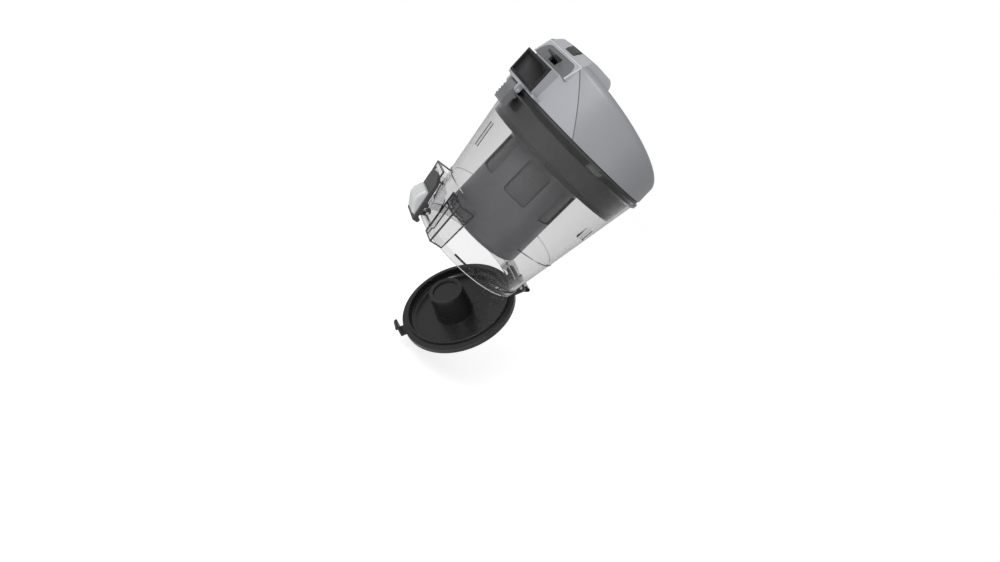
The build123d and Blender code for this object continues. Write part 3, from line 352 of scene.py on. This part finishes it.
def screen_mesh(name):
    """Dark screen with rows of small round holes.

    The angle about the core's axis times the screen's radius and the height are laid out as a flat sheet,
    whose evenly spaced cell centres are the holes.
    """
    material, tree, shader, _ = start_material(name)
    axes = object_axes(tree)
    across = tree.nodes.new("ShaderNodeMath")
    across.operation = "SUBTRACT"
    across.inputs[1].default_value = CORE_X
    tree.links.new(axes.outputs["X"], across.inputs[0])
    angle = tree.nodes.new("ShaderNodeMath")
    angle.operation = "ARCTAN2"
    tree.links.new(axes.outputs["Y"], angle.inputs[0])
    tree.links.new(across.outputs["Value"], angle.inputs[1])
    around = tree.nodes.new("ShaderNodeMath")
    around.operation = "MULTIPLY"
    around.inputs[1].default_value = SCREEN_R
    tree.links.new(angle.outputs["Value"], around.inputs[0])
    sheet = tree.nodes.new("ShaderNodeCombineXYZ")
    tree.links.new(around.outputs["Value"], sheet.inputs["X"])
    tree.links.new(axes.outputs["Z"], sheet.inputs["Y"])
    cells = tree.nodes.new("ShaderNodeTexVoronoi")
    cells.voronoi_dimensions = "2D"
    cells.inputs["Scale"].default_value = 1 / SCREEN_PITCH
    cells.inputs["Randomness"].default_value = 0.0
    tree.links.new(sheet.outputs["Vector"], cells.inputs["Vector"])
    solid = tree.nodes.new("ShaderNodeMapRange")
    solid.inputs["From Min"].default_value = 0.28
    solid.inputs["From Max"].default_value = 0.34
    solid.inputs["To Min"].default_value = 0.4
    solid.inputs["To Max"].default_value = 1.0
    tree.links.new(cells.outputs["Distance"], solid.inputs["Value"])
    tree.links.new(tinted(tree, (0.1, 0.098, 0.1), solid.outputs["Result"]), shader.inputs["Base Color"])
    shader.inputs["Roughness"].default_value = 0.45
    return material


def milky_plastic(name, colour):
    """Milky plastic that lets some light through."""
    material, tree, shader, _ = start_material(name)
    drift = noise_between(tree, 40.0, 0.96, 1.04)
    tree.links.new(tinted(tree, colour, drift), shader.inputs["Base Color"])
    shader.inputs["Transmission Weight"].default_value = 0.35
    gloss = noise_between(tree, 70.0, 0.18, 0.28)
    tree.links.new(gloss, shader.inputs["Roughness"])
    tree.links.new(soft_edges(tree, 0.6 * MM), shader.inputs["Normal"])
    return material


def plain_steel(name):
    """Drawn steel wire: bright, with streaks of rougher grain along it."""
    material, tree, shader, _ = start_material(name)
    drift = noise_between(tree, 200.0, 0.85, 1.1)
    tree.links.new(tinted(tree, (0.58, 0.58, 0.6), drift), shader.inputs["Base Color"])
    shader.inputs["Metallic"].default_value = 1.0
    gloss = noise_between(tree, 500.0, 0.22, 0.4)
    tree.links.new(gloss, shader.inputs["Roughness"])
    return material


def open_foam(name):
    """Dark filter foam with open cells."""
    material, tree, shader, _ = start_material(name)
    drift = noise_between(tree, 900.0, 0.5, 1.3)
    tree.links.new(tinted(tree, (0.09, 0.09, 0.1), drift), shader.inputs["Base Color"])
    shader.inputs["Roughness"].default_value = 0.95
    bump = tree.nodes.new("ShaderNodeBump")
    bump.inputs["Strength"].default_value = 0.7
    bump.inputs["Distance"].default_value = 0.6 * MM
    tree.links.new(noise_between(tree, 900.0, 0.0, 1.0), bump.inputs["Height"])
    tree.links.new(bump.outputs["Normal"], shader.inputs["Normal"])
    return material


def add_piece(name, points, faces, material, body):
    """Mesh piece from whole arrays of points and faces, riding on a body."""
    mesh = bpy.data.meshes.new(name)
    mesh.from_pydata(points.tolist(), [], faces.tolist())
    mesh.materials.append(material)
    piece = bpy.data.objects.new(name, mesh)
    bpy.context.scene.collection.objects.link(piece)
    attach(piece, body)


def square_bars(starts, ends, half):
    """Square bars between pairs of points.

    Each bar's corners stand off its two end points by half along two directions square to the bar.
    """
    along = ends - starts
    along = along / np.linalg.norm(along, axis=1, keepdims=True)
    helper = np.where(np.abs(along[:, 2:]) > 0.7, [[1.0, 0.0, 0.0]], [[0.0, 0.0, 1.0]])
    side = np.cross(along, helper)
    side = half * side / np.linalg.norm(side, axis=1, keepdims=True)
    rise = np.cross(side, along)
    around = np.stack([side + rise, rise - side, -side - rise, side - rise], axis=1)
    points = np.concatenate([starts[:, None] + around, ends[:, None] + around], axis=1)
    box = np.array([[0, 1, 2, 3], [7, 6, 5, 4], [0, 4, 5, 1], [1, 5, 6, 2], [2, 6, 7, 3], [3, 7, 4, 0]])
    faces = box[None] + 8 * np.arange(len(starts))[:, None, None]
    return points.reshape(-1, 3), faces.reshape(-1, 4)


def cheek_corners(side, z):
    """Three corners of one cheek at each height z: inner front, outer front and where it meets the bin.

    The cheek leans out with the bin, so its front and outer side move out by BIN_SLOPE times z.
    The corners lie half a wall inside the faces.
    """
    inset = CHEEK_WALL / 2
    front = -CHEEK_X - BIN_SLOPE * z + inset
    inner = side * (CHEEK_INNER + inset) + 0 * z
    outer = side * (CHEEK_Y + BIN_SLOPE * z - inset)
    meet = -np.sqrt((RIM_R + BIN_SLOPE * z) ** 2 - outer**2)
    columns = [(front, inner, z), (front, outer, z), (meet, outer, z)]
    return np.stack([np.stack(column, axis=-1) for column in columns])


def add_cheek_shade_lines(material):
    """Black bars of painted shade along the thick corners of the clear cheeks, upright and at three
    levels, where the clear walls show dark edges.
    """
    starts, ends = [], []
    for side in (-1, 1):
        corners = cheek_corners(side, CHEEK_LEVELS)
        starts += [corners[:, 0], corners[0], corners[1]]
        ends += [corners[:, -1], corners[1], corners[2]]
    points, faces = square_bars(np.concatenate(starts), np.concatenate(ends), SHADE_LINE_HALF)
    add_piece("cheek_shade_lines", points, faces, material, "container")


def add_hood_highlight_bars(material):
    """Pale bars of painted highlight on the hood's front edge: along its lip and down both sides."""
    side = np.array([0.0, HOOD_HALF, 0.0])
    lip = np.array([LIP_X, 0.0, LIP_Z])
    foot = np.array([HOOD_FRONT, 0.0, HOOD_LOW])
    starts = np.stack([lip - side, foot - side, foot + side])
    ends = np.stack([lip + side, lip - side, lip + side])
    points, faces = square_bars(starts, ends, HIGHLIGHT_HALF)
    add_piece("hood_highlight_bars", points, faces, material, "container")


finishes = {
    "clear_plastic": clear_plastic("clear_plastic"),
    "black_plastic": moulded_plastic("black_plastic", (0.015, 0.015, 0.015), 0.26, grain=0.01),
    "dark_plastic": moulded_plastic(
        "dark_plastic", (0.050, 0.049, 0.051), 0.36, grain=0.004, specular=0.25
    ),
    "pale_plastic": milky_plastic("pale_plastic", (0.82, 0.85, 0.85)),
    "light_grey_plastic": moulded_plastic(
        "light_grey_plastic", (0.30, 0.31, 0.332), 0.55, grain=0.02, mottle=0.02, specular=0.3
    ),
    "mid_grey_plastic": moulded_plastic(
        "mid_grey_plastic", (0.243, 0.247, 0.261), 0.38, grain=0.02, mottle=0.02
    ),
    "rubber": moulded_plastic("rubber", (0.02, 0.02, 0.02), 0.7, grain=0.1),
    "steel": plain_steel("steel"),
    "foam": open_foam("foam"),
}

own_finishes = {
    "duct_liner": duct_plastic_painted_shade("duct_plastic_painted_shade"),
    "handle": moulded_plastic("hood_plastic", (0.36, 0.366, 0.383), 0.4, grain=0.02, mottle=0.02),
    "catch_frame": moulded_plastic("catch_plastic", (0.12, 0.122, 0.127), 0.35, grain=0.02),
    "cover_clip": moulded_plastic("clip_plastic", (0.15, 0.153, 0.158), 0.45, grain=0.04, mottle=0.15),
    # The core is its own dark grey made paler than the other dark plastic, as painted light
    "core_tube": moulded_plastic("core_plastic_painted_light", (0.135, 0.131, 0.135), 0.38, grain=0.0, specular=0.3),
    "core_screen": screen_mesh("screen_mesh"),
}

for part in frame["record"]["subparts"]:
    mesh = nodes[part["node"]].data
    mesh.materials.clear()
    mesh.materials.append(own_finishes.get(part["node"], finishes[part["material_slot"]]))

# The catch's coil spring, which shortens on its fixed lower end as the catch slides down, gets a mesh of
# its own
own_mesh(nodes["catch_spring"])

# Black bars along the clear cheeks' corners are painted shade for their dark edges
add_cheek_shade_lines(finishes["black_plastic"])
# Pale bars on the hood's front edge are a painted highlight
add_hood_highlight_bars(moulded_plastic("hood_highlight_plastic", (0.6, 0.61, 0.63), 0.35, grain=0.0, mottle=0.03))
add_world()
add_floor()
add_camera()
for lamp in LAMPS:
    add_lamp(*lamp)
bpy.context.scene.view_settings.view_transform = "Standard"
